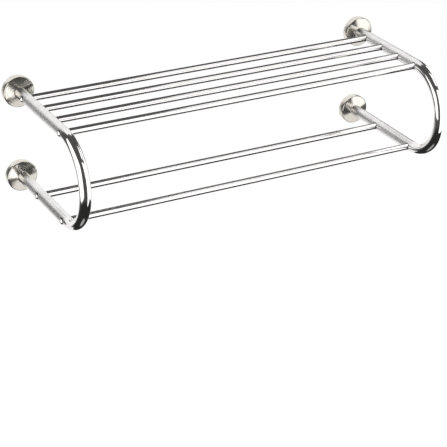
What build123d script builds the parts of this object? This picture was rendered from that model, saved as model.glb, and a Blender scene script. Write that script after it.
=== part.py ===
from build123d import *
import math
import os

# Wall-mounted towel rack: a shelf of four rails above two towel rails, between two bent tube frames.
# Frame: X along the rails, the wall is the plane Y = 0 and the rack stands out to -Y, Z is up.
# The origin is on the wall, in the middle of the four wall fixings. Millimetres.

# overall sizes
ARM_SPACING = 600.0          # between the middle lines of the left and right frames
LEVEL_SPACING = 138.0        # between the middle lines of the upper and lower arms
FIRST_RAIL_OFFSET = 40.0     # from the wall to the first shelf rail
RAIL_PITCH = 46.0            # from one shelf rail to the next
SHELF_RAIL_COUNT = 4

# side frame tube
TUBE_DIAMETER = 17.2
TUBE_WALL = 1.6

# rails
RAIL_DIAMETER = 10.0
RAIL_WALL = 1.0
RAIL_HOLE_CLEARANCE = 0.1    # radial, round a rail where it enters an arm
RAIL_END_CLEARANCE = 0.1     # from a rail's end to the far wall of the arm
BUSH_LENGTH = 14.0

# domed screws that hold the outer shelf rails and both towel rails
RAIL_SCREW_DIAMETER = 4.0
RAIL_SCREW_LENGTH = 12.0
RAIL_SCREW_HEAD_DIAMETER = 8.4
RAIL_SCREW_HEAD_HEIGHT = 2.6
RAIL_SCREW_HEAD_RIM = 0.5    # straight edge under the dome
RAIL_SCREW_SOCKET_FLATS = 2.5
RAIL_SCREW_SOCKET_DEPTH = 1.4
RAIL_SCREW_CLEARANCE = 0.2   # radial, in the arm's wall
SPOT_FACE_DEPTH = 0.5        # flat seat cut in the arm's outer wall
SPOT_FACE_CLEARANCE = 0.2    # radial, round the head

# rosettes
ROSETTE_DIAMETER = 48.0
ROSETTE_DEPTH = 14.5
ROSETTE_WALL = 2.0
ROSETTE_FACE = 2.5
ROSETTE_CROWN = 2.4          # rise of the tapered face from its edge to the flat land at the arm
ROSETTE_LAND_MARGIN = 0.6    # flat land left round the arm
ROSETTE_EDGE_RADIUS = 1.6
ROSETTE_BACK_CHAMFER = 0.4

# wall brackets inside the rosettes
BRACKET_HEAD_GAP = 1.0       # from the bracket to the arm screw's head
BRACKET_CLEARANCE = 0.3      # radial, inside the rosette
BRACKET_GROOVE_DEPTH = 1.8
BRACKET_GROOVE_CLEARANCE = 0.25
WALL_HOLE_DIAMETER = 5.0
WALL_HEAD_DIAMETER = 10.0
WALL_HEAD_DEPTH = 4.2
WALL_HEAD_EDGE = 2.4         # from a counterbore to the floor of the groove

# grub screws that lock the rosettes on the brackets
GRUB_DIAMETER = 4.0
GRUB_RECESS = 0.1
GRUB_SOCKET_FLATS = 2.0
GRUB_SOCKET_DEPTH = 1.8

# plugs in the arm tubes, and the screws through the rosettes into them
PLUG_RAIL_GAP = 4.5          # from a plug's inner end to the first rail
ARM_SCREW_DIAMETER = 6.0
ARM_SCREW_LENGTH = 14.0
ARM_SCREW_HEAD_DIAMETER = 10.5
ARM_SCREW_HEAD_HEIGHT = 3.0
ARM_SCREW_SOCKET_FLATS = 4.0
ARM_SCREW_SOCKET_DEPTH = 1.8
ARM_SCREW_CLEARANCE = 0.2    # radial, in the rosette's face

# worked out from the sizes above
ARM_X = ARM_SPACING / 2
ARM_Z = LEVEL_SPACING / 2
TUBE_RADIUS = TUBE_DIAMETER / 2
TUBE_BORE_RADIUS = TUBE_RADIUS - TUBE_WALL
RAIL_RADIUS = RAIL_DIAMETER / 2
RAIL_BORE_RADIUS = RAIL_RADIUS - RAIL_WALL
SHELF_RAIL_YS = [-(FIRST_RAIL_OFFSET + i * RAIL_PITCH) for i in range(SHELF_RAIL_COUNT)]
FRONT_Y = SHELF_RAIL_YS[-1]                     # the front rails lie where the bend starts
TOWEL_RAIL_YS = [SHELF_RAIL_YS[1], FRONT_Y]     # the rear one hangs below the second shelf rail
ROSETTE_RADIUS = ROSETTE_DIAMETER / 2
ROSETTE_BORE_RADIUS = ROSETTE_RADIUS - ROSETTE_WALL
ROSETTE_BORE_DEPTH = ROSETTE_DEPTH - ROSETTE_FACE
BRACKET_RADIUS = ROSETTE_BORE_RADIUS - BRACKET_CLEARANCE
LAND_RADIUS = TUBE_RADIUS + ROSETTE_LAND_MARGIN
BRACKET_THICKNESS = ROSETTE_BORE_DEPTH - max(ARM_SCREW_HEAD_HEIGHT, ROSETTE_CROWN) - BRACKET_HEAD_GAP
GROOVE_RADIUS = BRACKET_RADIUS - BRACKET_GROOVE_DEPTH
WALL_HOLE_SPACING = 2 * (GROOVE_RADIUS - WALL_HEAD_EDGE) - WALL_HEAD_DIAMETER
GRUB_OFFSET = BRACKET_THICKNESS / 2             # from the wall to the grub screw's axis
PLUG_LENGTH = FIRST_RAIL_OFFSET - RAIL_RADIUS - PLUG_RAIL_GAP - ROSETTE_DEPTH
SEAT_X = TUBE_RADIUS - SPOT_FACE_DEPTH          # from an arm's middle line to the screw head's seat
# a rail runs through the arm's inner wall until its rim meets the curved outer wall
RAIL_REACH = math.sqrt(TUBE_BORE_RADIUS**2 - RAIL_RADIUS**2) - RAIL_END_CLEARANCE
RAIL_LENGTH = ARM_SPACING + 2 * RAIL_REACH
# screws hold the first and last shelf rails and the towel rails; the other shelf rails only slot in
SCREWED_RAIL_YS = {"upper": [SHELF_RAIL_YS[0], FRONT_Y], "lower": TOWEL_RAIL_YS}

SIDES = {"left": -1, "right": 1}
LEVELS = {"upper": 1, "lower": -1}


def cylinder(radius, start, direction, length):
    """A cylinder from a start point along a direction."""
    plane = Plane(origin=start, z_dir=direction)
    return extrude(plane * Circle(radius), amount=length)


def hex_prism(flats, start, direction, length):
    """A hexagonal prism, for a socket, from a start point along a direction."""
    plane = Plane(origin=start, z_dir=direction)
    return extrude(plane * RegularPolygon(flats / math.sqrt(3), 6), amount=length)


def turned(outline, start, direction):
    """A turned solid: the outline is in (radius, distance along the axis) from the start point."""
    across = Vector(0, 0, 1)
    plane = Plane(origin=start, x_dir=across, z_dir=across.cross(Vector(*direction)))
    return revolve(plane * make_face(outline), axis=Axis(start, direction))


def rail_places(level):
    """The Y of each rail that meets an arm at this level."""
    return SHELF_RAIL_YS if level == "upper" else TOWEL_RAIL_YS


def side_frame(side):
    """One bent tube: upper arm, half-round bend and lower arm, drilled for its rails and screws."""
    x = side * ARM_X
    back_y = -ROSETTE_DEPTH
    top_back = (x, back_y, ARM_Z)
    top_front = (x, FRONT_Y, ARM_Z)
    nose = (x, FRONT_Y - ARM_Z, 0)
    low_front = (x, FRONT_Y, -ARM_Z)
    low_back = (x, back_y, -ARM_Z)
    path = Line(top_back, top_front) + ThreePointArc(top_front, nose, low_front) + Line(low_front, low_back)
    section = Plane(origin=top_back, z_dir=(0, -1, 0)) * (Circle(TUBE_RADIUS) - Circle(TUBE_BORE_RADIUS))
    tube = sweep(section, path=path)
    for level, up in LEVELS.items():
        for y in rail_places(level):
            axis_point = (x, y, up * ARM_Z)
            inward = (-side, 0, 0)
            tube -= cylinder(RAIL_RADIUS + RAIL_HOLE_CLEARANCE, axis_point, inward, TUBE_DIAMETER)
        for y in SCREWED_RAIL_YS[level]:
            axis_point = (x, y, up * ARM_Z)
            outward = (side, 0, 0)
            screw_hole = RAIL_SCREW_DIAMETER / 2 + RAIL_SCREW_CLEARANCE
            tube -= cylinder(screw_hole, axis_point, outward, TUBE_DIAMETER)
            seat = (x + side * SEAT_X, y, up * ARM_Z)
            spot_radius = RAIL_SCREW_HEAD_DIAMETER / 2 + SPOT_FACE_CLEARANCE
            tube -= cylinder(spot_radius, seat, outward, TUBE_DIAMETER)
    return tube


def rail(y, z):
    """A hollow rail between the frames."""
    start = (-RAIL_LENGTH / 2, y, z)
    outer = cylinder(RAIL_RADIUS, start, (1, 0, 0), RAIL_LENGTH)
    return outer - cylinder(RAIL_BORE_RADIUS, start, (1, 0, 0), RAIL_LENGTH)


def rail_bush(side, y, z):
    """The threaded bush pressed in one end of a rail, flush with the rail's end."""
    start = (side * RAIL_LENGTH / 2, y, z)
    inward = (-side, 0, 0)
    outer = cylinder(RAIL_BORE_RADIUS, start, inward, BUSH_LENGTH)
    return outer - cylinder(RAIL_SCREW_DIAMETER / 2, start, inward, BUSH_LENGTH)


def rail_screw(side, y, z):
    """A domed screw that seats on the arm's outer wall and pulls the rail's end up to it."""
    seat_x = side * (ARM_X + SEAT_X)
    head_radius = RAIL_SCREW_HEAD_DIAMETER / 2
    shank_radius = RAIL_SCREW_DIAMETER / 2
    dome_height = RAIL_SCREW_HEAD_HEIGHT - RAIL_SCREW_HEAD_RIM
    dome_radius = (head_radius**2 + dome_height**2) / (2 * dome_height)
    dome_drop = dome_radius - math.sqrt(dome_radius**2 - (head_radius / 2) ** 2)
    tip = (0, -RAIL_SCREW_LENGTH)
    rim_top = (head_radius, RAIL_SCREW_HEAD_RIM)
    dome_middle = (head_radius / 2, RAIL_SCREW_HEAD_HEIGHT - dome_drop)
    crown = (0, RAIL_SCREW_HEAD_HEIGHT)
    shank_and_rim = Polyline(
        crown, tip, (shank_radius, -RAIL_SCREW_LENGTH), (shank_radius, 0), (head_radius, 0), rim_top
    )
    outline = shank_and_rim + ThreePointArc(rim_top, dome_middle, crown)
    screw = turned(outline, (seat_x, y, z), (side, 0, 0))
    crown_point = (seat_x + side * RAIL_SCREW_HEAD_HEIGHT, y, z)
    return screw - hex_prism(RAIL_SCREW_SOCKET_FLATS, crown_point, (-side, 0, 0), RAIL_SCREW_SOCKET_DEPTH)


def rosette(side, up):
    """A turned cup over the wall fixing: tapered face with a flat land for the arm, rounded edge."""
    x = side * ARM_X
    z = up * ARM_Z
    out = (0, -1, 0)
    hole_radius = ARM_SCREW_DIAMETER / 2 + ARM_SCREW_CLEARANCE
    inside = [(ROSETTE_BORE_RADIUS, 0), (ROSETTE_BORE_RADIUS, ROSETTE_BORE_DEPTH - ROSETTE_CROWN)]
    inside += [(LAND_RADIUS, ROSETTE_BORE_DEPTH), (hole_radius, ROSETTE_BORE_DEPTH)]
    outside = [(hole_radius, ROSETTE_DEPTH), (LAND_RADIUS, ROSETTE_DEPTH)]
    outside += [(ROSETTE_RADIUS, ROSETTE_DEPTH - ROSETTE_CROWN), (ROSETTE_RADIUS, 0)]
    cup = turned(Polyline(*inside, *outside, close=True), (x, 0, z), out)
    rims = cup.edges().filter_by(GeomType.CIRCLE).group_by(SortBy.RADIUS)[-1].sort_by(Axis.Y)
    cup = fillet(rims[0], ROSETTE_EDGE_RADIUS)
    rims = cup.edges().filter_by(GeomType.CIRCLE).group_by(SortBy.RADIUS)[-1].sort_by(Axis.Y)
    cup = chamfer(rims[-1], ROSETTE_BACK_CHAMFER)
    return cup - cylinder(GRUB_DIAMETER / 2, (x, -GRUB_OFFSET, z), (0, 0, -1), ROSETTE_RADIUS)


def wall_bracket(side, up):
    """A round plate on the wall: two counterbored screw holes and a groove for the grub screw."""
    x = side * ARM_X
    z = up * ARM_Z
    out = (0, -1, 0)
    plate = cylinder(BRACKET_RADIUS, (x, 0, z), out, BRACKET_THICKNESS)
    groove_width = GRUB_DIAMETER + 2 * BRACKET_GROOVE_CLEARANCE
    groove_start = (x, -GRUB_OFFSET + groove_width / 2, z)
    ring = cylinder(ROSETTE_RADIUS, groove_start, out, groove_width)
    plate -= ring - cylinder(GROOVE_RADIUS, groove_start, out, groove_width)
    for across in (-1, 1):
        hole_x = x + across * WALL_HOLE_SPACING / 2
        plate -= cylinder(WALL_HOLE_DIAMETER / 2, (hole_x, 0, z), out, BRACKET_THICKNESS)
        head_start = (hole_x, -(BRACKET_THICKNESS - WALL_HEAD_DEPTH), z)
        plate -= cylinder(WALL_HEAD_DIAMETER / 2, head_start, out, WALL_HEAD_DEPTH)
    return plate


def grub_screw(side, up):
    """A grub screw up through the rosette's rim, with its tip on the floor of the bracket's groove."""
    x = side * ARM_X
    z = up * ARM_Z
    tip = (x, -GRUB_OFFSET, z - GROOVE_RADIUS)
    length = ROSETTE_RADIUS - GRUB_RECESS - GROOVE_RADIUS
    body = cylinder(GRUB_DIAMETER / 2, tip, (0, 0, -1), length)
    foot = (x, -GRUB_OFFSET, z - GROOVE_RADIUS - length)
    # the curved groove floor rises away from the middle, so the tip is cut to the same curve
    body -= cylinder(GROOVE_RADIUS, (x, 0, z), (0, -1, 0), ROSETTE_DEPTH)
    return body - hex_prism(GRUB_SOCKET_FLATS, foot, (0, 0, 1), GRUB_SOCKET_DEPTH)


def arm_plug(side, up):
    """The threaded plug fixed in the back part of an arm, flush with the tube's end."""
    start = (side * ARM_X, -ROSETTE_DEPTH, up * ARM_Z)
    plug = cylinder(TUBE_BORE_RADIUS, start, (0, -1, 0), PLUG_LENGTH)
    return plug - cylinder(ARM_SCREW_DIAMETER / 2, start, (0, -1, 0), PLUG_LENGTH)


def arm_screw(side, up):
    """The screw from inside the rosette, through its face, into the arm's plug."""
    x = side * ARM_X
    z = up * ARM_Z
    out = (0, -1, 0)
    seat_y = -ROSETTE_BORE_DEPTH
    head_back_y = seat_y + ARM_SCREW_HEAD_HEIGHT
    head = cylinder(ARM_SCREW_HEAD_DIAMETER / 2, (x, head_back_y, z), out, ARM_SCREW_HEAD_HEIGHT)
    shank = cylinder(ARM_SCREW_DIAMETER / 2, (x, seat_y, z), out, ARM_SCREW_LENGTH)
    screw = head + shank
    return screw - hex_prism(ARM_SCREW_SOCKET_FLATS, (x, head_back_y, z), out, ARM_SCREW_SOCKET_DEPTH)


def build_parts():
    """Every node of the rack, by name. Identical fasteners share a node as separate solids."""
    parts = {}
    for side_name, side in SIDES.items():
        parts[f"{side_name}_side_frame"] = side_frame(side)
        ends = [(y, up * ARM_Z) for level, up in LEVELS.items() for y in SCREWED_RAIL_YS[level]]
        parts[f"{side_name}_rail_bushes"] = Compound([rail_bush(side, y, z).solid() for y, z in ends])
        parts[f"{side_name}_rail_screws"] = Compound([rail_screw(side, y, z).solid() for y, z in ends])
    for number, y in enumerate(SHELF_RAIL_YS, start=1):
        parts[f"shelf_rail_{number}"] = rail(y, ARM_Z)
    for name, y in zip(("rear", "front"), TOWEL_RAIL_YS):
        parts[f"towel_rail_{name}"] = rail(y, -ARM_Z)
    corners = [(level, side_name) for level in LEVELS for side_name in SIDES]
    for level, side_name in corners:
        place = (SIDES[side_name], LEVELS[level])
        parts[f"{level}_{side_name}_rosette"] = rosette(*place)
        parts[f"{level}_{side_name}_wall_bracket"] = wall_bracket(*place)
        parts[f"{level}_{side_name}_arm_plug"] = arm_plug(*place)
    places = [(SIDES[side_name], LEVELS[level]) for level, side_name in corners]
    parts["grub_screws"] = Compound([grub_screw(*place).solid() for place in places])
    parts["arm_screws"] = Compound([arm_screw(*place).solid() for place in places])
    return parts


os.makedirs("parts", exist_ok=True)
for node, shape in build_parts().items():
    export_step(shape, f"parts/{node}.step")
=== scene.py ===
"""Looks and studio for a wall-mounted towel rack of satin and polished stainless steel tube."""
import logging
import math
from dataclasses import dataclass
from enum import Enum

import bmesh
import bpy
from mathutils import Euler, Matrix, Vector


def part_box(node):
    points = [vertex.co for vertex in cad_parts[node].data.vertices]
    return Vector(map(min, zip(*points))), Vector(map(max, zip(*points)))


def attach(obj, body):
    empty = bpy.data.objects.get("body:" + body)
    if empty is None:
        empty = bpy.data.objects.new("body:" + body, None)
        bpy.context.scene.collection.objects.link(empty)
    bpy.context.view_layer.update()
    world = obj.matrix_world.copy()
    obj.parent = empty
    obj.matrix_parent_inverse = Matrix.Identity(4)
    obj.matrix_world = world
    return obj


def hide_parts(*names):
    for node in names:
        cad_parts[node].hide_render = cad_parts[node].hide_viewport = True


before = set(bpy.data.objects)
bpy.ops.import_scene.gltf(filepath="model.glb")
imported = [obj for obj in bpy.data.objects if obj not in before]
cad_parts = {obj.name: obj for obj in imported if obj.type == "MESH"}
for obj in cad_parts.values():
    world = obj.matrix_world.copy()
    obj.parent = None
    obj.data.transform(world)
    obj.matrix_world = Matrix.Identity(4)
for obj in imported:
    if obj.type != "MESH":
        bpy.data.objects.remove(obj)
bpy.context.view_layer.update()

log = logging.getLogger("towel_rack")
Colour = tuple[float, float, float]

# distances, in metres, under which vertices are one
WELD = 1e-6
FINE_WELD = 1e-7

# the Mix node's sockets for colours: factor, two colours, result
MIX_FACTOR, MIX_FIRST, MIX_SECOND, MIX_RESULT = 0, 6, 7, 2

# handled metal: where the darker patches start and end, how fine the specks are beside the
# patches, and how much of the roughness is even, goes with the patches and goes with the specks
PATCH_EDGES = (0.35, 0.7)
SPECKS_PER_PATCH = 9.0
EVEN_GLOSS, PATCHY_GLOSS, SPECKLED_GLOSS = 0.86, 0.2, 0.08

# an area light's watts for each square metre and unit of glow
WATTS_PER_GLOW = 4.0


class Slot(Enum):
    """The record's material slots for the pieces that are modelled here."""

    FRAME = "frame_steel"
    RAIL = "rail_steel"
    ROSETTE = "rosette_steel"
    DOME = "polished_steel"


def side_word(side: int) -> str:
    """The word for a side: -1 is left and 1 is right."""
    return "left" if side < 0 else "right"


# ---------------------------------------------------------------------------------------------
# Shader writing
# ---------------------------------------------------------------------------------------------


class Signal:
    """A number or vector that leaves a shader node, for use in Python expressions."""

    def __init__(self, graph: "Graph", socket: bpy.types.NodeSocket | None) -> None:
        """Wraps one output socket of a graph, or None for a node without outputs."""
        self.graph = graph
        self.socket = socket

    def math(self, operation: str, *others: "Signal | float", flip: bool = False) -> "Signal":
        """Adds one Math node.

        Args:
            operation: the Math node's operation.
            others: the operands after this signal.
            flip: puts this signal after the first of the others.

        Returns:
            The node's result.
        """
        terms = [self, *others]
        if flip:
            terms.reverse()
        return self.graph.add("ShaderNodeMath", {"operation": operation}, dict(enumerate(terms)))

    def vector(self, operation: str, *others: "Signal | Colour", **scale: "Signal | float") -> "Signal":
        """Adds one Vector Math node.

        Args:
            operation: the Vector Math node's operation.
            others: the vectors after this one.
            scale: the factor, as Scale, of a SCALE operation.

        Returns:
            The node's vector, or its number for LENGTH and DOT_PRODUCT.
        """
        values: dict = dict(enumerate([self, *others]))
        values.update(scale)
        output = "Value" if operation in ("LENGTH", "DOT_PRODUCT") else "Vector"
        return self.graph.add("ShaderNodeVectorMath", {"operation": operation}, values, output)

    def smooth(self, low: float, high: float) -> "Signal":
        """A soft step that rises from 0 at low to 1 at high."""
        values = {"Value": self, "From Min": low, "From Max": high}
        return self.graph.add("ShaderNodeMapRange", {"interpolation_type": "SMOOTHSTEP"}, values)

    def __add__(self, other: "Signal | float") -> "Signal":
        """This plus another number."""
        return self.math("ADD", other)

    def __sub__(self, other: "Signal | float") -> "Signal":
        """This less another number."""
        return self.math("SUBTRACT", other)

    def __rsub__(self, other: float) -> "Signal":
        """A number less this."""
        return self.math("SUBTRACT", other, flip=True)

    def __mul__(self, other: "Signal | float") -> "Signal":
        """This times another number."""
        return self.math("MULTIPLY", other)

    __radd__ = __add__
    __rmul__ = __mul__


class Graph:
    """A node tree that is written one expression at a time."""

    def __init__(self, tree: bpy.types.NodeTree) -> None:
        """Empties the tree and keeps it."""
        self.tree = tree
        tree.nodes.clear()

    def add(self, kind: str, settings: dict | None = None, values: dict | None = None,
            output: str | int = 0) -> Signal:
        """Adds any node.

        Args:
            kind: the node's type name.
            settings: its properties, such as a Math node's operation.
            values: numbers, colours or signals for its inputs, by name or number.
            output: the output to return, by name or number.

        Returns:
            The chosen output.
        """
        node = self.tree.nodes.new(kind)
        for name, value in (settings or {}).items():
            setattr(node, name, value)
        for name, value in (values or {}).items():
            if isinstance(value, Signal):
                self.tree.links.new(value.socket, node.inputs[name])
            elif isinstance(value, tuple) and node.inputs[name].type == "RGBA":
                node.inputs[name].default_value = (*value, 1.0)
            else:
                node.inputs[name].default_value = value
        return Signal(self, node.outputs[output] if node.outputs else None)

    def object_place(self) -> Signal:
        """The point on the piece, in metres in the rack's own frame."""
        return self.add("ShaderNodeTexCoord", output="Object")

    def split(self, vector: Signal) -> tuple[Signal, ...]:
        """The three parts of a vector."""
        node = self.add("ShaderNodeSeparateXYZ", values={0: vector}).socket.node
        return tuple(Signal(self, part) for part in node.outputs)

    def join(self, x: Signal | float, y: Signal | float, z: Signal | float) -> Signal:
        """A vector from its three parts."""
        return self.add("ShaderNodeCombineXYZ", values={0: x, 1: y, 2: z})

    def noise(self, place: Signal, scale: float, detail: float = 2.0) -> Signal:
        """Cloudy noise round 0.5 at a point."""
        values = {"Vector": place, "Scale": scale, "Detail": detail}
        return self.add("ShaderNodeTexNoise", {"noise_dimensions": "3D"}, values)

    def line_noise(self, along: Signal, scale: float, detail: float = 2.0) -> Signal:
        """Noise round 0.5 that changes in one direction only."""
        values = {"W": along, "Scale": scale, "Detail": detail}
        return self.add("ShaderNodeTexNoise", {"noise_dimensions": "1D"}, values)

    def mix(self, factor: Signal | float, first: Signal | Colour, second: Signal | Colour) -> Signal:
        """A colour between two colours."""
        values = {MIX_FACTOR: factor, MIX_FIRST: first, MIX_SECOND: second}
        return self.add("ShaderNodeMix", {"data_type": "RGBA"}, values, MIX_RESULT)

    def bump(self, height: Signal, strength: float, depth: float) -> Signal:
        """The surface normal, tilted by small heights."""
        values = {"Height": height, "Strength": strength, "Distance": depth}
        return self.add("ShaderNodeBump", values=values)

    def tilted_normal(self, direction: Signal, amount: Signal | float) -> Signal:
        """Leans the surface normal along a direction.

        Args:
            direction: the direction that it leans to, or away from.
            amount: how far it leans; 0 leaves it as it is.

        Returns:
            The leaned normal, one unit long.
        """
        normal = self.add("ShaderNodeNewGeometry", output="Normal")
        lean = direction.vector("SCALE", Scale=amount)
        return normal.vector("ADD", lean).vector("NORMALIZE")


def graph_length(first: Signal, second: Signal) -> Signal:
    """The length of the vector with these two parts."""
    return (first * first + second * second).math("SQRT")


# ---------------------------------------------------------------------------------------------
# Finishes
# ---------------------------------------------------------------------------------------------


@dataclass(frozen=True)
class Finish:
    """What all the rack's metal finishes share."""

    name: str
    tint: Colour
    shade: Colour
    roughness: float

    def new_material(self) -> tuple[bpy.types.Material, Graph]:
        """Starts an empty material.

        Returns:
            The material and its graph.
        """
        material = bpy.data.materials.new(self.name)
        material.use_nodes = True
        return material, Graph(material.node_tree)

    def close(self, graph: Graph, colour: Signal, roughness: Signal, normal: Signal) -> None:
        """Adds the shader of bare metal and the material's output.

        Args:
            graph: the material's graph.
            colour: the metal's colour over the surface.
            roughness: the roughness over the surface.
            normal: the leaned normal.
        """
        values = {"Base Color": colour, "Roughness": roughness, "Metallic": 1.0, "Normal": normal}
        shader = graph.add("ShaderNodeBsdfPrincipled", values=values)
        graph.add("ShaderNodeOutputMaterial", values={"Surface": shader})

    def worn(self, graph: Graph, place: Signal, scale: float) -> tuple[Signal, Signal]:
        """Faint uneven tone and gloss, as handled metal has.

        Args:
            graph: the material's graph.
            place: the point on the piece.
            scale: how many patches there are in a metre.

        Returns:
            The colour and the roughness over the surface.
        """
        patches = graph.noise(place, scale, 4.0)
        specks = graph.noise(place, scale * SPECKS_PER_PATCH)
        colour = graph.mix(patches.smooth(*PATCH_EDGES), self.tint, self.shade)
        roughness = self.roughness * (EVEN_GLOSS + PATCHY_GLOSS * patches + SPECKLED_GLOSS * specks)
        return colour, roughness


@dataclass(frozen=True)
class BentTubeFinish(Finish):
    """Satin arms with fine marks round the tube, a bend polished bright, and painted shade round the rail
    holes and screw seats.
    """

    bend_roughness: float
    bend_centre_y: float
    arm_x: float
    rail_places: tuple[tuple[float, float], ...]
    screw_places: tuple[tuple[float, float], ...]
    bend_radius: float = 0.069
    marks_per_metre: float = 2600.0
    arm_marks: float = 0.5
    bend_marks: float = 0.012
    blend_length: float = 0.016
    patches_per_metre: float = 60.0
    side_blend: float = 0.001
    # painted shade: dark rings round the rail holes and screw seats, with their size, strength and colour
    shade_ring_radius: float = 0.0052
    shade_ring_reach: float = 0.0012
    painted_shade_strength: float = 0.9
    painted_shade_colour: Colour = (0.03, 0.03, 0.03)

    def _painted_rim_shade(self, x: Signal, y: Signal, z: Signal) -> Signal:
        """Paints shade as dark rings round the rims of the rail holes and the screws' seats, where the
        joints fall into shadow.

        Args:
            x: the point's place along the rails.
            y: its place out from the wall.
            z: its height.

        Returns:
            A painted-shade mask that is 1 at the rims.
        """
        outside = x.math("ABSOLUTE").smooth(self.arm_x, self.arm_x + self.side_blend)
        masks = []
        for places, share in ((self.rail_places, 1.0 - outside), (self.screw_places, outside)):
            clear: Signal | float = 1.0
            for place_y, place_z in places:
                distance = graph_length(y - place_y, z - place_z)
                clear = distance.smooth(self.shade_ring_radius, self.shade_ring_radius + self.shade_ring_reach) * clear
            masks.append((1.0 - clear) * share)
        return masks[0] + masks[1]

    def material(self) -> bpy.types.Material:
        """Builds the finish.

        Returns:
            The material.
        """
        material, graph = self.new_material()
        place = graph.object_place()
        x, y, z = graph.split(place)
        ahead = (y - self.bend_centre_y).math("MINIMUM", 0.0)
        on_arm = (y - self.bend_centre_y).math("MAXIMUM", 0.0)
        turn = z.math("ARCTAN2", 0.0 - ahead)
        along = turn * self.bend_radius + on_arm * z.math("SIGN")
        bend = (0.0 - ahead).smooth(0.0, self.blend_length)
        tangent = graph.join(0.0, z, 0.0 - ahead).vector("NORMALIZE")
        marks = graph.line_noise(along, self.marks_per_metre) - 0.5
        depth = self.arm_marks + bend * (self.bend_marks - self.arm_marks)
        normal = graph.tilted_normal(tangent, marks * depth)
        colour, gloss = self.worn(graph, place, self.patches_per_metre)
        bright = graph.mix(bend, colour, self.tint)
        # paints shade: dark rings at the rail holes and screw seats, standing in for contact shadow
        with_painted_shade = graph.mix(self._painted_rim_shade(x, y, z) * self.painted_shade_strength, bright, self.painted_shade_colour)
        roughness = gloss + bend * (self.bend_roughness - self.roughness)
        self.close(graph, with_painted_shade, roughness, normal)
        return material


@dataclass(frozen=True)
class RailFinish(Finish):
    """Polished rail with very faint marks along its length."""

    marks: float = 0.035
    marks_along: float = 6.0
    marks_across: float = 900.0
    patches_per_metre: float = 40.0

    def material(self) -> bpy.types.Material:
        """Builds the finish.

        Returns:
            The material.
        """
        material, graph = self.new_material()
        place = graph.object_place()
        x, y, z = graph.split(place)
        stretched = graph.join(x * self.marks_along, y * self.marks_across, z * self.marks_across)
        hair = graph.noise(stretched, 1.0) - 0.5
        normal = graph.tilted_normal(graph.join(0.0, 1.0, 1.0), hair * self.marks)
        colour, roughness = self.worn(graph, place, self.patches_per_metre)
        self.close(graph, colour, roughness, normal)
        return material


@dataclass(frozen=True)
class TurnedFinish(Finish):
    """Satin turned on a lathe: fine rings round each rosette's axis, on its face and its rim."""

    axis_x: float
    axis_z: float
    rings_per_metre: float = 2400.0
    ring_depth: float = 0.3
    face_edges: tuple[float, float] = (0.3, 0.8)
    patches_per_metre: float = 80.0

    def material(self) -> bpy.types.Material:
        """Builds the finish.

        Returns:
            The material.
        """
        material, graph = self.new_material()
        place = graph.object_place()
        x, y, z = graph.split(place)
        side = x.math("SIGN")
        level = z.math("SIGN")
        spoke = graph.join(x - side * self.axis_x, 0.0, z - level * self.axis_z)
        radius = spoke.vector("LENGTH")
        rings = graph.line_noise(radius + y, self.rings_per_metre) - 0.5
        facing = graph.add("ShaderNodeNewGeometry", output="Normal")
        face = (0.0 - graph.split(facing)[1]).smooth(*self.face_edges)
        across = spoke.vector("NORMALIZE").vector("SCALE", Scale=face)
        down = graph.join(0.0, 1.0 - face, 0.0)
        normal = graph.tilted_normal(across.vector("ADD", down), rings * self.ring_depth)
        colour, roughness = self.worn(graph, place, self.patches_per_metre)
        self.close(graph, colour, roughness, normal)
        return material


@dataclass(frozen=True)
class MachinedFinish(Finish):
    """Small turned fittings: screws, plugs and bushes, with a slight grain."""

    grain: float = 900.0
    grain_strength: float = 0.25
    grain_depth: float = 0.00004
    patches_per_metre: float = 220.0

    def material(self) -> bpy.types.Material:
        """Builds the finish.

        Returns:
            The material.
        """
        material, graph = self.new_material()
        place = graph.object_place()
        colour, roughness = self.worn(graph, place, self.patches_per_metre)
        grain = graph.noise(place, self.grain, 3.0)
        normal = graph.bump(grain, self.grain_strength, self.grain_depth)
        self.close(graph, colour, roughness, normal)
        return material


@dataclass(frozen=True)
class CastFinish(Finish):
    """Pressure-cast zinc with a fine pebbled skin that swells slightly."""

    pebble: float = 1400.0
    pebble_share: float = 0.6
    swell: float = 500.0
    swell_share: float = 0.4
    skin_strength: float = 0.5
    skin_depth: float = 0.00012
    patches_per_metre: float = 150.0

    def material(self) -> bpy.types.Material:
        """Builds the finish.

        Returns:
            The material.
        """
        material, graph = self.new_material()
        place = graph.object_place()
        colour, roughness = self.worn(graph, place, self.patches_per_metre)
        cells = graph.add("ShaderNodeTexVoronoi", values={"Vector": place, "Scale": self.pebble})
        swell = graph.noise(place, self.swell, 4.0)
        skin = cells * self.pebble_share + swell * self.swell_share
        normal = graph.bump(skin, self.skin_strength, self.skin_depth)
        self.close(graph, colour, roughness, normal)
        return material


# ---------------------------------------------------------------------------------------------
# Mesh helpers
# ---------------------------------------------------------------------------------------------


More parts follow.
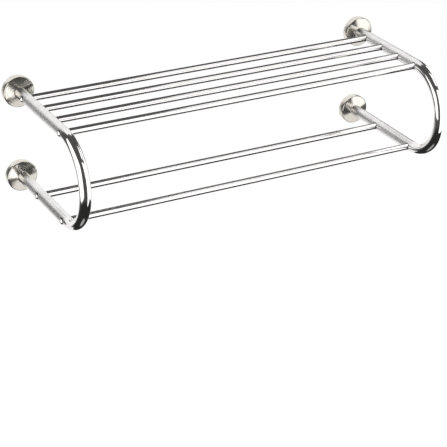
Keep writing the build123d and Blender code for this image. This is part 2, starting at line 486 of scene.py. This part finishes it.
class Workshop:
    """Turns finished bmeshes into pieces of the rack."""

    @staticmethod
    def piece(name: str, bm: bmesh.types.BMesh, finish: bpy.types.Material, slot: Slot,
              nodes: list[str], crease: float = 32.0) -> bpy.types.Object:
        """Makes a piece that stands for one or more CAD nodes.

        Args:
            name: the piece's name.
            bm: its mesh in the rack's frame; it is freed.
            finish: its material.
            slot: the record's slot for its finish; not used.
            nodes: the CAD nodes that it stands for.
            crease: edges sharper than this many degrees stay crisp.

        Returns:
            The piece, riding on the rack.
        """
        bmesh.ops.remove_doubles(bm, verts=bm.verts, dist=WELD)
        bmesh.ops.recalc_face_normals(bm, faces=bm.faces)
        mesh = bpy.data.meshes.new(name)
        bm.to_mesh(mesh)
        bm.free()
        mesh.shade_smooth()
        mesh.set_sharp_from_angle(angle=math.radians(crease))
        mesh.materials.append(finish)
        piece = bpy.data.objects.new(name, mesh)
        bpy.context.scene.collection.objects.link(piece)
        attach(piece, "root")
        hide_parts(*nodes)
        log.info("%s: %d faces", name, len(mesh.polygons))
        return piece

    @staticmethod
    def bored(bm: bmesh.types.BMesh, tools: bmesh.types.BMesh) -> bmesh.types.BMesh:
        """Cuts a body with a set of tools.

        Args:
            bm: the closed body; it is freed.
            tools: closed shapes that don't touch each other; they are freed.

        Returns:
            The body without the tools' shapes.
        """
        objects = []
        for label, source in (("blank", bm), ("cutters", tools)):
            bmesh.ops.recalc_face_normals(source, faces=source.faces)
            mesh = bpy.data.meshes.new(label)
            source.to_mesh(mesh)
            source.free()
            objects.append(bpy.data.objects.new(label, mesh))
            bpy.context.scene.collection.objects.link(objects[-1])
        blank, cutters = objects
        cut = blank.modifiers.new("bores", "BOOLEAN")
        cut.object = cutters
        cut.operation = "DIFFERENCE"
        cut.solver = "EXACT"
        bpy.context.view_layer.update()
        evaluated = blank.evaluated_get(bpy.context.evaluated_depsgraph_get())
        shaped = bpy.data.meshes.new_from_object(evaluated)
        result = bmesh.new()
        result.from_mesh(shaped)
        for item in (blank.data, cutters.data, shaped):
            bpy.data.meshes.remove(item)
        return result

    @staticmethod
    def rod(bm: bmesh.types.BMesh, radius: float, start: Vector, end: Vector, segments: int = 48) -> None:
        """Adds a capped rod between two points.

        Args:
            bm: the mesh that gets the rod.
            radius: the rod's radius, or half the width over its corners.
            start: the middle of one end.
            end: the middle of the other end.
            segments: the number of its sides.
        """
        axis = end - start
        turn = axis.to_track_quat("Z", "Y").to_matrix().to_4x4()
        matrix = Matrix.Translation((start + end) / 2) @ turn
        bmesh.ops.create_cone(bm, cap_ends=True, segments=segments, radius1=radius, radius2=radius,
                              depth=axis.length, matrix=matrix)

    @staticmethod
    def turned(bm: bmesh.types.BMesh, outline: list[tuple[float, float]], base: Vector, axis: Vector,
               steps: int = 128) -> None:
        """Turns an outline round an axis.

        Args:
            bm: the mesh that gets the turned shape.
            outline: (radius, distance along the axis) points, in order.
            base: the point on the axis where distances start.
            axis: the axis, one unit long.
            steps: the number of steps in the full turn.
        """
        across = axis.orthogonal().normalized()
        points = [bm.verts.new(base + across * radius + axis * height) for radius, height in outline]
        edges = [bm.edges.new(pair) for pair in zip(points, points[1:])]
        bmesh.ops.spin(bm, geom=points + edges, cent=base, axis=axis, angle=math.tau, steps=steps,
                       use_merge=True, use_duplicate=False)

    @staticmethod
    def rounded(corners: list[tuple[float, float, float]], steps: int = 6) -> list[tuple[float, float]]:
        """Rounds an outline's corners.

        Args:
            corners: (radius, height, corner radius) points in order; a corner radius of 0 stays sharp.
            steps: the number of short lines in each rounded corner.

        Returns:
            The outline's points.
        """
        places = [Vector(corner[:2]) for corner in corners]
        outline: list[tuple[float, float]] = []
        for index, (place, (_, _, size)) in enumerate(zip(places, corners)):
            if size <= 0 or index in (0, len(corners) - 1):
                outline.append(tuple(place))
                continue
            before = (places[index - 1] - place).normalized()
            after = (places[index + 1] - place).normalized()
            half = before.angle(after) / 2
            reach = size / math.tan(half)
            middle = place + (before + after).normalized() * (size / math.sin(half))
            first = place + before * reach - middle
            last = place + after * reach - middle
            swing = first.angle_signed(last)
            for step in range(steps + 1):
                turn = Matrix.Rotation(-swing * step / steps, 2)
                outline.append(tuple(middle + turn @ first))
        return outline


# ---------------------------------------------------------------------------------------------
# The rack's sub-assemblies
# ---------------------------------------------------------------------------------------------


@dataclass
class RackSizes:
    """The sizes that the pieces share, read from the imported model, in metres."""

    tube_radius: float
    arm_x: float
    arm_z: float
    back_y: float
    bend_y: float
    rail_radius: float
    rail_end: float
    shelf_ys: list[float]
    towel_ys: list[float]
    screw_ys: dict[int, list[float]]

    @classmethod
    def read(cls) -> "RackSizes":
        """Reads the sizes from the boxes of the CAD nodes.

        Returns:
            The sizes.
        """
        low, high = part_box("right_side_frame")
        radius = (high.x - low.x) / 2
        arm_z = high.z - radius
        rails = [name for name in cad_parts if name.startswith(("shelf_rail", "towel_rail"))]
        boxes = {name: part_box(name) for name in rails}
        middles = {name: (box[0] + box[1]) / 2 for name, box in boxes.items()}
        first = boxes["shelf_rail_1"]
        shelf, towel = (sorted((middle.y for name, middle in middles.items() if name.startswith(word)),
                               reverse=True) for word in ("shelf", "towel"))
        return cls(tube_radius=radius, arm_x=(high.x + low.x) / 2, arm_z=arm_z, back_y=high.y,
                   bend_y=low.y + radius + arm_z, rail_radius=(first[1].z - first[0].z) / 2,
                   rail_end=first[1].x, shelf_ys=shelf, towel_ys=towel,
                   screw_ys={1: [shelf[0], shelf[-1]], -1: towel})

    def rail_ys(self, level: int) -> list[float]:
        """Where the rails of a level meet the arms."""
        return self.shelf_ys if level > 0 else self.towel_ys


@dataclass
class SideFrame:
    """One bent tube: upper arm, half-round bend and lower arm, bored for rails and screws."""

    sizes: RackSizes
    side: int
    segments: int = 96
    arm_steps: int = 40
    bend_steps: int = 96
    rail_gap: float = 0.0003
    rail_cut: float = 0.02
    seat_depth: float = 0.0005
    seat_radius: float = 0.0048
    seat_cut: float = 0.01

    def _run(self, bm: bmesh.types.BMesh, edges: list, travel: float) -> list:
        """Pulls an open end of the tube along Y in equal steps.

        Args:
            bm: the tube's mesh.
            edges: the edges of its open end.
            travel: how far the end goes.

        Returns:
            The edges of the new end.
        """
        for _ in range(self.arm_steps):
            made = bmesh.ops.extrude_edge_only(bm, edges=edges)["geom"]
            verts = [item for item in made if isinstance(item, bmesh.types.BMVert)]
            edges = [item for item in made if isinstance(item, bmesh.types.BMEdge)]
            bmesh.ops.translate(bm, verts=verts, vec=(0.0, travel / self.arm_steps, 0.0))
        return edges

    def _tube(self) -> bmesh.types.BMesh:
        """Makes the closed tube before its holes are bored.

        Returns:
            Its mesh.
        """
        sizes = self.sizes
        bm = bmesh.new()
        place = Matrix.Translation((self.side * sizes.arm_x, sizes.back_y, sizes.arm_z))
        upright = Matrix.Rotation(math.pi / 2, 4, "X")
        bmesh.ops.create_circle(bm, cap_ends=False, radius=sizes.tube_radius, segments=self.segments,
                                matrix=place @ upright)
        end = self._run(bm, list(bm.edges), sizes.bend_y - sizes.back_y)
        verts = list({vert for edge in end for vert in edge.verts})
        centre = (self.side * sizes.arm_x, sizes.bend_y, 0.0)
        last = bmesh.ops.spin(bm, geom=verts + end, cent=centre, axis=(1.0, 0.0, 0.0), angle=math.pi,
                              steps=self.bend_steps, use_merge=False, use_duplicate=False)["geom_last"]
        end = [item for item in last if isinstance(item, bmesh.types.BMEdge)]
        self._run(bm, end, sizes.back_y - sizes.bend_y)
        bmesh.ops.holes_fill(bm, edges=[edge for edge in bm.edges if edge.is_boundary], sides=0)
        return bm

    def _cutters(self) -> bmesh.types.BMesh:
        """Makes the tools for a blind hole for each rail and a flat seat for each screw's head.

        Returns:
            Their mesh.
        """
        sizes = self.sizes
        bm = bmesh.new()
        out = Vector((float(self.side), 0.0, 0.0))
        for level in (1, -1):
            for y in sizes.rail_ys(level):
                middle = Vector((self.side * sizes.arm_x, y, level * sizes.arm_z))
                Workshop.rod(bm, sizes.rail_radius + self.rail_gap, middle, middle - out * self.rail_cut)
            for y in sizes.screw_ys[level]:
                middle = Vector((self.side * sizes.arm_x, y, level * sizes.arm_z))
                seat = middle + out * (sizes.tube_radius - self.seat_depth)
                Workshop.rod(bm, self.seat_radius, seat, seat + out * self.seat_cut)
        return bm

    def build(self, finish: bpy.types.Material) -> bpy.types.Object:
        """Makes the frame.

        Args:
            finish: the material of the bent tube.

        Returns:
            The piece.
        """
        bm = Workshop.bored(self._tube(), self._cutters())
        word = side_word(self.side)
        return Workshop.piece(f"{word}_bent_tube", bm, finish, Slot.FRAME, [f"{word}_side_frame"])


@dataclass
class Rosette:
    """A turned wall cover: tapered face, flat land at the arm, softly rounded edges, grub-screw hole."""

    sizes: RackSizes
    side: int
    level: int
    rim_radius: float = 0.024
    bore_radius: float = 0.022
    wall_depth: float = 0.0121
    inner_depth: float = 0.0096
    face_depth: float = 0.0025
    land_margin: float = 0.0006
    hole_radius: float = 0.0032
    land_round: float = 0.0012
    rim_round: float = 0.0016
    wall_round: float = 0.0004
    mouth_round: float = 0.0002
    inner_round: float = 0.0008
    inner_land_round: float = 0.001
    grub_radius: float = 0.002
    grub_y: float = 0.004
    grub_cut: float = 0.006
    grub_margin: float = 0.002
    crease: float = 40.0

    def _outline(self) -> list[tuple[float, float]]:
        """Draws half of the cover's section, round from the screw hole's inner edge.

        Returns:
            Its (radius, height) points; the last is the first.
        """
        depth = -self.sizes.back_y
        land = self.sizes.tube_radius + self.land_margin
        return Workshop.rounded([
            (self.hole_radius, depth - self.face_depth, 0.0),
            (self.hole_radius, depth, 0.0),
            (land, depth, self.land_round),
            (self.rim_radius, self.wall_depth, self.rim_round),
            (self.rim_radius, 0.0, self.wall_round),
            (self.bore_radius, 0.0, self.mouth_round),
            (self.bore_radius, self.inner_depth, self.inner_round),
            (land, depth - self.face_depth, self.inner_land_round),
            (self.hole_radius, depth - self.face_depth, 0.0),
        ])

    def build(self, finish: bpy.types.Material) -> bpy.types.Object:
        """Makes the rosette.

        Args:
            finish: its turned metal.

        Returns:
            The piece.
        """
        bm = bmesh.new()
        base = Vector((self.side * self.sizes.arm_x, 0.0, self.level * self.sizes.arm_z))
        Workshop.turned(bm, self._outline(), base, Vector((0.0, -1.0, 0.0)))
        bmesh.ops.remove_doubles(bm, verts=bm.verts, dist=FINE_WELD)
        tools = bmesh.new()
        mouth = base + Vector((0.0, -self.grub_y, -self.rim_radius))
        Workshop.rod(tools, self.grub_radius, mouth + Vector((0.0, 0.0, self.grub_cut)),
                     mouth - Vector((0.0, 0.0, self.grub_margin)))
        bm = Workshop.bored(bm, tools)
        corner = f"{'upper' if self.level > 0 else 'lower'}_{side_word(self.side)}"
        nodes = [f"{corner}_rosette"]
        return Workshop.piece(f"{corner}_cover", bm, finish, Slot.ROSETTE, nodes, self.crease)


@dataclass
class DomeScrews:
    """The domed screws of one side, with hexagon sockets and softened edges."""

    sizes: RackSizes
    side: int
    head_radius: float = 0.0042
    head_height: float = 0.0026
    rim_height: float = 0.0005
    edge_round: float = 0.0001
    dome_steps: int = 8
    shank_radius: float = 0.002
    shank_length: float = 0.012
    tip_radius: float = 0.0016
    tip_length: float = 0.0006
    seat: float = 0.0081
    socket_flats: float = 0.0025
    socket_depth: float = 0.0014
    socket_margin: float = 0.001
    steps: int = 48

    def _outline(self) -> list[tuple[float, float]]:
        """Draws half of a screw's section, from its tip to the crown of its dome.

        Returns:
            Its (radius, height) points.
        """
        dome = self.head_height - self.rim_height
        sphere = (self.head_radius**2 + dome**2) / (2 * dome)
        spread = math.asin(self.head_radius / sphere)
        outline = [(0.0, -self.shank_length), (self.tip_radius, -self.shank_length)]
        outline += [(self.shank_radius, self.tip_length - self.shank_length), (self.shank_radius, 0.0)]
        outline += [(self.head_radius - self.edge_round, 0.0), (self.head_radius, self.edge_round)]
        for step in range(self.dome_steps + 1):
            angle = spread * (1 - step / self.dome_steps)
            outline.append((sphere * math.sin(angle), self.head_height - sphere * (1 - math.cos(angle))))
        return outline

    def build(self, finish: bpy.types.Material) -> bpy.types.Object:
        """Makes the four screws of the side as one piece.

        Args:
            finish: their polished metal.

        Returns:
            The piece.
        """
        bm = bmesh.new()
        tools = bmesh.new()
        out = Vector((float(self.side), 0.0, 0.0))
        for level in (1, -1):
            for y in self.sizes.screw_ys[level]:
                base = Vector((self.side * (self.sizes.arm_x + self.seat), y, level * self.sizes.arm_z))
                Workshop.turned(bm, self._outline(), base, out, self.steps)
                crown = base + out * self.head_height
                Workshop.rod(tools, self.socket_flats / math.sqrt(3), crown - out * self.socket_depth,
                             crown + out * self.socket_margin, 6)
        bmesh.ops.remove_doubles(bm, verts=bm.verts, dist=WELD)
        bm = Workshop.bored(bm, tools)
        word = side_word(self.side)
        return Workshop.piece(f"{word}_dome_screws", bm, finish, Slot.DOME, [f"{word}_rail_screws"])


@dataclass
class Rails:
    """The six straight rails, with softened ends inside the arms."""

    sizes: RackSizes
    bore_radius: float = 0.004
    end_chamfer: float = 0.0003
    steps: int = 96
    length_steps: int = 24

    def _outline(self) -> list[tuple[float, float]]:
        """Draws half of a rail's section, round from one mouth of its bore.

        Returns:
            Its (radius, height) points; the last is the first.
        """
        radius = self.sizes.rail_radius
        length = 2 * self.sizes.rail_end
        rim = radius - self.end_chamfer
        outline = [(self.bore_radius, 0.0), (rim, 0.0), (radius, self.end_chamfer)]
        outline += [(radius, length * step / self.length_steps) for step in range(1, self.length_steps)]
        outline += [(radius, length - self.end_chamfer), (rim, length), (self.bore_radius, length)]
        return outline + outline[:1]

    def build(self, finish: bpy.types.Material) -> list[bpy.types.Object]:
        """Makes every rail.

        Args:
            finish: their polished metal.

        Returns:
            The six pieces.
        """
        sizes = self.sizes
        places = {f"shelf_rail_{n}": (y, sizes.arm_z) for n, y in enumerate(sizes.shelf_ys, start=1)}
        for name, y in zip(("towel_rail_rear", "towel_rail_front"), sizes.towel_ys):
            places[name] = (y, -sizes.arm_z)
        pieces = []
        for name, (y, z) in places.items():
            bm = bmesh.new()
            end = Vector((-sizes.rail_end, y, z))
            Workshop.turned(bm, self._outline(), end, Vector((1.0, 0.0, 0.0)), self.steps)
            pieces.append(Workshop.piece(f"{name}_tube", bm, finish, Slot.RAIL, [name]))
        return pieces


@dataclass
class HiddenFittings:
    """The fittings that keep their CAD shape: brackets, plugs, bushes and the small screws."""

    finishes: dict[str, bpy.types.Material]

    def dress(self) -> None:
        """Gives every node whose name ends with a finish's key that finish."""
        for name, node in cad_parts.items():
            for ending, finish in self.finishes.items():
                if name.endswith(ending):
                    node.data.materials.clear()
                    node.data.materials.append(finish)
                    log.info("%s keeps its shape and gets %s", name, finish.name)


# ---------------------------------------------------------------------------------------------
# Studio and camera
# ---------------------------------------------------------------------------------------------


class Reach(Enum):
    """What a softbox shines on: its light linking's state, and the groups of pieces that it names."""

    ALL = ("INCLUDE", ())
    COVERS = ("INCLUDE", ("covers",))
    RAILS = ("INCLUDE", ("rails",))
    NOT_COVERS = ("EXCLUDE", ("covers",))
    NOT_RAILS = ("EXCLUDE", ("rails",))
    NEITHER = ("EXCLUDE", ("covers", "rails"))


@dataclass(frozen=True)
class Softbox:
    """A large flat soft light that faces the rack, and what it shines on."""

    name: str
    centre: tuple[float, float, float]
    facing: tuple[float, float, float]
    width: float
    height: float
    glow: float
    reach: Reach = Reach.ALL

    def hang(self, groups: dict[str, list[bpy.types.Object]]) -> None:
        """Makes the light, which the camera doesn't see.

        Args:
            groups: the pieces by group, "covers" and "rails".
        """
        light = bpy.data.lights.new(self.name, "AREA")
        light.shape = "RECTANGLE"
        light.size = self.width
        light.size_y = self.height
        light.energy = WATTS_PER_GLOW * self.glow * self.width * self.height
        holder = bpy.data.objects.new(self.name, light)
        bpy.context.scene.collection.objects.link(holder)
        holder.location = self.centre
        holder.rotation_euler = Vector(self.facing).to_track_quat("-Z", "Y").to_euler()
        holder.visible_camera = False
        if self.reach is Reach.ALL:
            return
        state, names = self.reach.value
        reached = bpy.data.collections.new(f"{self.name}_reach")
        holder.light_linking.receiver_collection = reached
        for piece in (piece for name in names for piece in groups[name]):
            reached.objects.link(piece)
        for item in reached.collection_objects:
            item.light_linking.link_state = state


@dataclass
class Studio:
    """A pale floor, soft lights round the rack, and a dim room that polished metal mirrors."""

    floor_z: float = -1.6
    floor_size: float = 24.0
    floor_colour: Colour = (0.9, 0.9, 0.9)
    daylight: float = 1.1
    room: float = 0.08
    low_room: float = 0.025
    low_room_band: tuple[float, float] = (-0.45, -0.6)
    table: float = 0.4
    table_band: tuple[float, float] = (-0.96, -0.985)
    softboxes: tuple[Softbox, ...] = (
        Softbox("left_softbox", (-1.07, -0.30, 0.165), (1.0, 0.0, 0.0), 1.4, 1.23, 1.15, Reach.NOT_RAILS),
        Softbox("front_softbox", (0.55, -1.07, 0.1), (0.0, 1.0, 0.0), 1.1, 1.9, 1.15, Reach.NOT_COVERS),
        Softbox("right_softbox", (1.1, -0.33, 0.0), (-1.0, 0.0, 0.0), 1.45, 1.54, 1.15, Reach.NEITHER),
        Softbox("top_softbox", (0.8, -0.5, 1.15), (0.0, 0.0, -1.0), 0.8, 0.7, 1.0),
        Softbox("back_softbox", (0.45, 2.5, 0.6), (0.0, -1.0, 0.0), 4.0, 8.0, 0.76, Reach.NOT_RAILS),
        Softbox("rail_front", (-0.55, -1.07, 0.1), (0.0, 1.0, 0.0), 1.1, 1.9, 1.15, Reach.RAILS),
        Softbox("rail_back", (-1.8, 2.5, 0.6), (0.0, -1.0, 0.0), 4.4, 8.0, 0.76, Reach.RAILS),
        Softbox("rail_left", (-1.07, -0.1, 0.7), (1.0, 0.0, 0.0), 1.4, 1.2, 0.9, Reach.RAILS),
        Softbox("rail_right", (1.1, -0.1, 0.7), (-1.0, 0.0, 0.0), 1.4, 1.2, 0.9, Reach.RAILS),
        Softbox("cover_key", (1.4, -1.07, 0.15), (0.0, 1.0, 0.0), 1.3, 1.5, 1.1, Reach.COVERS),
        Softbox("cover_strip", (-0.30, -1.07, -0.30), (0.0, 1.0, 0.0), 0.36, 0.5, 1.3, Reach.COVERS),
        Softbox("cover_table", (0.45, -0.6, -0.6), (0.0, 0.0, 1.0), 1.5, 0.62, 0.75, Reach.COVERS),
    )

    def floor(self) -> None:
        """Makes the floor, which reflections don't see."""
        bm = bmesh.new()
        bmesh.ops.create_grid(bm, x_segments=2, y_segments=2, size=self.floor_size / 2,
                              matrix=Matrix.Translation((0.0, 0.0, self.floor_z)))
        mesh = bpy.data.meshes.new("studio_floor")
        bm.to_mesh(mesh)
        bm.free()
        material = bpy.data.materials.new("floor_paper")
        material.use_nodes = True
        graph = Graph(material.node_tree)
        paper = graph.add("ShaderNodeBsdfDiffuse", values={"Color": self.floor_colour})
        graph.add("ShaderNodeOutputMaterial", values={"Surface": paper})
        mesh.materials.append(material)
        floor = bpy.data.objects.new("studio_floor", mesh)
        bpy.context.scene.collection.objects.link(floor)
        floor.visible_glossy = False

    def world(self) -> None:
        """Makes the white surroundings, and the dim room with its pale table seen in reflections."""
        world = bpy.data.worlds.new("studio")
        bpy.context.scene.world = world
        world.use_nodes = True
        graph = Graph(world.node_tree)
        height = graph.split(graph.object_place())[2]
        level = self.room - height.smooth(*self.low_room_band) * (self.room - self.low_room)
        level = level + height.smooth(*self.table_band) * (self.table - self.low_room)
        mirrored = graph.add("ShaderNodeLightPath", output="Is Glossy Ray")
        strength = self.daylight + mirrored * (level - self.daylight)
        glow = graph.add("ShaderNodeBackground", values={"Color": (1.0, 1.0, 1.0), "Strength": strength})
        graph.add("ShaderNodeOutputWorld", values={"Surface": glow})

    def build(self, groups: dict[str, list[bpy.types.Object]]) -> None:
        """Sets up the floor, the surroundings and the softboxes.

        Args:
            groups: the pieces by group, "covers" and "rails", that some softboxes are for or pass by.
        """
        self.floor()
        self.world()
        for softbox in self.softboxes:
            softbox.hang(groups)
        settings = bpy.context.scene.view_settings
        settings.view_transform = "Standard"
        settings.look = "None"
        log.info("studio: floor at %.2f m, %d softboxes", self.floor_z, len(self.softboxes))


@dataclass
class RackCamera:
    """A long lens from the front left, above the shelf."""

    place: tuple[float, float, float] = (-1.0873, -2.0524, 0.9605)
    heading: float = 0.5091
    tilt: float = 0.4709
    roll: float = 0.0225
    lens: float = 126.74
    sensor_width: float = 36.0

    def build(self) -> None:
        """Makes the camera the scene's own."""
        camera = bpy.data.cameras.new("camera")
        camera.lens = self.lens
        camera.sensor_width = self.sensor_width
        camera.dof.use_dof = False
        holder = bpy.data.objects.new("camera", camera)
        bpy.context.scene.collection.objects.link(holder)
        holder.location = self.place
        aim = Euler((math.pi / 2 - self.tilt, 0.0, -self.heading), "XYZ").to_matrix()
        holder.rotation_euler = (aim @ Matrix.Rotation(self.roll, 3, "Z")).to_euler()
        bpy.context.scene.camera = holder


def main() -> None:
    """Builds the rack's pieces in order, then the studio around them."""
    logging.basicConfig(level=logging.INFO, format="%(name)s: %(message)s")
    sizes = RackSizes.read()
    RackCamera().build()
    holes = tuple((y, level * sizes.arm_z) for level in (1, -1) for y in sizes.rail_ys(level))
    seats = tuple((y, level * sizes.arm_z) for level in (1, -1) for y in sizes.screw_ys[level])
    tube = BentTubeFinish("satin_bent_tube", (0.84, 0.83, 0.815), (0.76, 0.75, 0.735), 0.28,
                          bend_roughness=0.09, bend_centre_y=sizes.bend_y, arm_x=sizes.arm_x,
                          rail_places=holes, screw_places=seats).material()
    rail = RailFinish("polished_rail", (0.83, 0.82, 0.80), (0.77, 0.76, 0.74), 0.12).material()
    turned = TurnedFinish("turned_rosette", (0.74, 0.71, 0.65), (0.66, 0.63, 0.57), 0.13,
                          axis_x=sizes.arm_x, axis_z=sizes.arm_z).material()
    dome = MachinedFinish("polished_dome", (0.85, 0.84, 0.82), (0.78, 0.77, 0.75), 0.12).material()
    covers = []
    for side in (-1, 1):
        SideFrame(sizes, side).build(tube)
        DomeScrews(sizes, side).build(dome)
        covers += [Rosette(sizes, side, level).build(turned) for level in (1, -1)]
    rails = Rails(sizes).build(rail)
    zinc = CastFinish("cast_bracket", (0.42, 0.42, 0.41), (0.33, 0.33, 0.33), 0.45)
    plug = MachinedFinish("machined_plug", (0.72, 0.58, 0.34), (0.60, 0.46, 0.25), 0.32)
    bush = MachinedFinish("machined_bush", (0.74, 0.60, 0.36), (0.62, 0.48, 0.27), 0.3)
    grub = MachinedFinish("black_steel_grub", (0.10, 0.10, 0.11), (0.05, 0.05, 0.06), 0.4)
    screw = MachinedFinish("zinc_plated_screw", (0.62, 0.63, 0.65), (0.5, 0.5, 0.52), 0.3)
    HiddenFittings({
        "wall_bracket": zinc.material(),
        "arm_plug": plug.material(),
        "rail_bushes": bush.material(),
        "grub_screws": grub.material(),
        "arm_screws": screw.material(),
    }).dress()
    Studio().build({"covers": covers, "rails": rails})


if __name__ == "__main__":
    main()
